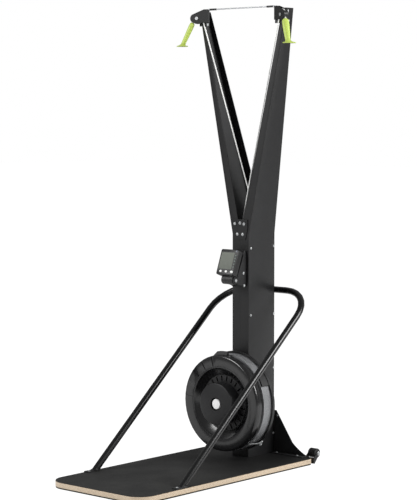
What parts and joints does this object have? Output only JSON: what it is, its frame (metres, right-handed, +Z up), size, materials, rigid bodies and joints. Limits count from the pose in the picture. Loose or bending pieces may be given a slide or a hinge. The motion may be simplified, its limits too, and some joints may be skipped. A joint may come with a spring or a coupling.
{
  "type": "ski trainer",
  "caption": "Standing ski trainer: forked column with pulley heads, rope handles, an air flywheel housing, a tilting monitor, a platform and a hoop brace.",
  "frame": {"origin": "floor level, under the middle of the bounding box", "axes": "+Z up, +Y from the front of the platform to the column and the transport wheels, +X to the right of the person who faces the column"},
  "size_m": [0.7316, 1.269, 2.2045],
  "materials": {
    "underlay": "dull black-brown sheet",
    "plywood": "pale plywood, satin",
    "grip_mat": "textured grey-black rubber",
    "lime_plastic": "satin lime green",
    "rope": "braided white cord",
    "grey_metal": "satin light grey",
    "white_plastic": "satin white",
    "display": "grey-green display pane",
    "white_key": "satin white",
    "grey_key": "satin grey",
    "bright_steel": "zinc plated",
    "black_plastic": "satin moulded black",
    "black_steel": "black powder coat, satin",
    "wheel_rubber": "black rubber"
  },
  "bodies": {
    "frame": {"underlay": "underlay", "deck_board": "plywood", "grip_mat": "grip_mat", "left_upright": "black_steel", "right_upright": "black_steel", "joint_plate": "black_steel", "rear_joint_plate": "black_steel", "left_sheave_axle": "bright_steel", "right_sheave_axle": "bright_steel", "left_head_bracket": "black_steel", "right_head_bracket": "black_steel", "left_pulley_pin": "bright_steel", "right_pulley_pin": "bright_steel", "tie_rod": "bright_steel", "left_rope": "rope", "right_rope": "rope", "back_shell": "black_plastic", "vent_band": "grey_metal", "speed_sensor": "black_plastic", "front_cover": "black_plastic", "grille": "black_plastic", "hub_cap": "white_plastic", "front_bearing_block": "black_steel", "front_bearing": "bright_steel", "rear_bearing_block": "black_steel", "rear_bearing": "bright_steel", "rear_brace_plate": "black_steel", "hoop_brace": "black_steel", "left_hoop_foot": "black_steel", "right_hoop_foot": "black_steel", "monitor_bracket": "black_steel", "pivot_bolt": "bright_steel", "left_wheel_bracket": "black_steel", "right_wheel_bracket": "black_steel"},
    "left_handle_body": {"left_handle": "lime_plastic", "left_rope_tail": "rope"},
    "left_drum_body": {"left_drum": "black_plastic"},
    "left_top_pulley_body": {"left_top_pulley": "black_plastic"},
    "right_guide_sheave_body": {"right_guide_sheave": "bright_steel"},
    "right_handle_body": {"right_handle": "lime_plastic", "right_rope_tail": "rope"},
    "right_drum_body": {"right_drum": "black_plastic"},
    "right_top_pulley_body": {"right_top_pulley": "black_plastic"},
    "left_guide_sheave_body": {"left_guide_sheave": "bright_steel"},
    "flywheel_body": {"flywheel": "bright_steel", "flywheel_shaft": "bright_steel"},
    "damper": {"damper_ring": "black_plastic"},
    "monitor": {"monitor_case": "black_plastic", "display": "display", "pivot_block": "black_plastic"},
    "key_1_body": {"key_1": "white_key"},
    "key_2_body": {"key_2": "white_key"},
    "key_3_body": {"key_3": "white_key"},
    "side_key_1_body": {"side_key_1": "grey_key"},
    "side_key_2_body": {"side_key_2": "grey_key"},
    "side_key_3_body": {"side_key_3": "grey_key"},
    "side_key_4_body": {"side_key_4": "grey_key"},
    "side_key_5_body": {"side_key_5": "grey_key"},
    "left_wheel_body": {"left_wheel": "wheel_rubber"},
    "right_wheel_body": {"right_wheel": "wheel_rubber"}
  },
  "joints": [
    {"name": "left_pull", "type": "slide", "parent": "frame", "child": "left_handle_body", "axis": [0, 0, -1], "range_m": [0, 1.1], "stiffness_N_per_m": 8, "springref_m": -1, "deforming": ["left_rope_tail"]},
    {"name": "left_drum_turn", "type": "hinge", "parent": "frame", "child": "left_drum_body", "pos_m": [0, 0.5142, 0.3095], "axis": [0, 1, 0], "range_deg": [-2252, 0]},
    {"name": "left_top_pulley_turn", "type": "hinge", "parent": "frame", "child": "left_top_pulley_body", "pos_m": [-0.267, 0.36184, 2.159], "axis": [-0.342, 0.9397, 0], "range_deg": [-2574, 0]},
    {"name": "right_guide_sheave_turn", "type": "hinge", "parent": "frame", "child": "right_guide_sheave_body", "pos_m": [0.029, 0.448, 1.167], "axis": [0, 1, 0], "range_deg": [0, 4203]},
    {"name": "right_pull", "type": "slide", "parent": "frame", "child": "right_handle_body", "axis": [0, 0, -1], "range_m": [0, 1.1], "stiffness_N_per_m": 8, "springref_m": -1, "deforming": ["right_rope_tail"]},
    {"name": "right_drum_turn", "type": "hinge", "parent": "frame", "child": "right_drum_body", "pos_m": [0, 0.4308, 0.3095], "axis": [0, 1, 0], "range_deg": [-2252, 0]},
    {"name": "right_top_pulley_turn", "type": "hinge", "parent": "frame", "child": "right_top_pulley_body", "pos_m": [0.267, 0.36184, 2.159], "axis": [0.342, 0.9397, 0], "range_deg": [0, 2574]},
    {"name": "left_guide_sheave_turn", "type": "hinge", "parent": "frame", "child": "left_guide_sheave_body", "pos_m": [-0.029, 0.439, 1.167], "axis": [0, 1, 0], "range_deg": [-4203, 0]},
    {"name": "flywheel_turn", "type": "hinge", "parent": "frame", "child": "flywheel_body", "pos_m": [0, 0.3735, 0.3095], "axis": [0, 1, 0], "continuous": true},
    {"name": "damper_turn", "type": "hinge", "parent": "frame", "child": "damper", "pos_m": [0, 0.3735, 0.3095], "axis": [0, 1, 0], "range_deg": [-60, 30]},
    {"name": "monitor_tilt", "type": "hinge", "parent": "frame", "child": "monitor", "pos_m": [0, 0.2925, 0.899], "axis": [1, 0, 0], "range_deg": [-8, 30]},
    {"name": "key_1_press", "type": "slide", "parent": "monitor", "child": "key_1_body", "axis": [0, 0.9379, -0.3469], "range_m": [0, 0.0015], "stiffness_N_per_m": 600, "springref_m": -0.001},
    {"name": "key_2_press", "type": "slide", "parent": "monitor", "child": "key_2_body", "axis": [0, 0.9379, -0.3469], "range_m": [0, 0.0015], "stiffness_N_per_m": 600, "springref_m": -0.001},
    {"name": "key_3_press", "type": "slide", "parent": "monitor", "child": "key_3_body", "axis": [0, 0.9379, -0.3469], "range_m": [0, 0.0015], "stiffness_N_per_m": 600, "springref_m": -0.001},
    {"name": "side_key_1_press", "type": "slide", "parent": "monitor", "child": "side_key_1_body", "axis": [0, 0.9379, -0.3469], "range_m": [0, 0.001], "stiffness_N_per_m": 600, "springref_m": -0.001},
    {"name": "side_key_2_press", "type": "slide", "parent": "monitor", "child": "side_key_2_body", "axis": [0, 0.9379, -0.3469], "range_m": [0, 0.001], "stiffness_N_per_m": 600, "springref_m": -0.001},
    {"name": "side_key_3_press", "type": "slide", "parent": "monitor", "child": "side_key_3_body", "axis": [0, 0.9379, -0.3469], "range_m": [0, 0.001], "stiffness_N_per_m": 600, "springref_m": -0.001},
    {"name": "side_key_4_press", "type": "slide", "parent": "monitor", "child": "side_key_4_body", "axis": [0, 0.9379, -0.3469], "range_m": [0, 0.001], "stiffness_N_per_m": 600, "springref_m": -0.001},
    {"name": "side_key_5_press", "type": "slide", "parent": "monitor", "child": "side_key_5_body", "axis": [0, 0.9379, -0.3469], "range_m": [0, 0.001], "stiffness_N_per_m": 600, "springref_m": -0.001},
    {"name": "left_wheel_turn", "type": "hinge", "parent": "frame", "child": "left_wheel_body", "pos_m": [-0.27, 0.6115, 0.049], "axis": [1, 0, 0], "continuous": true},
    {"name": "right_wheel_turn", "type": "hinge", "parent": "frame", "child": "right_wheel_body", "pos_m": [0.27, 0.6115, 0.049], "axis": [1, 0, 0], "continuous": true}
  ],
  "couplings": [
    {"joint": "left_drum_turn", "follows": "left_pull", "rad_per_m": -35.714},
    {"joint": "left_top_pulley_turn", "follows": "left_pull", "rad_per_m": -40.816},
    {"joint": "right_guide_sheave_turn", "follows": "left_pull", "rad_per_m": 66.667},
    {"joint": "right_drum_turn", "follows": "right_pull", "rad_per_m": -35.714},
    {"joint": "right_top_pulley_turn", "follows": "right_pull", "rad_per_m": 40.816},
    {"joint": "left_guide_sheave_turn", "follows": "right_pull", "rad_per_m": -66.667}
  ]
}
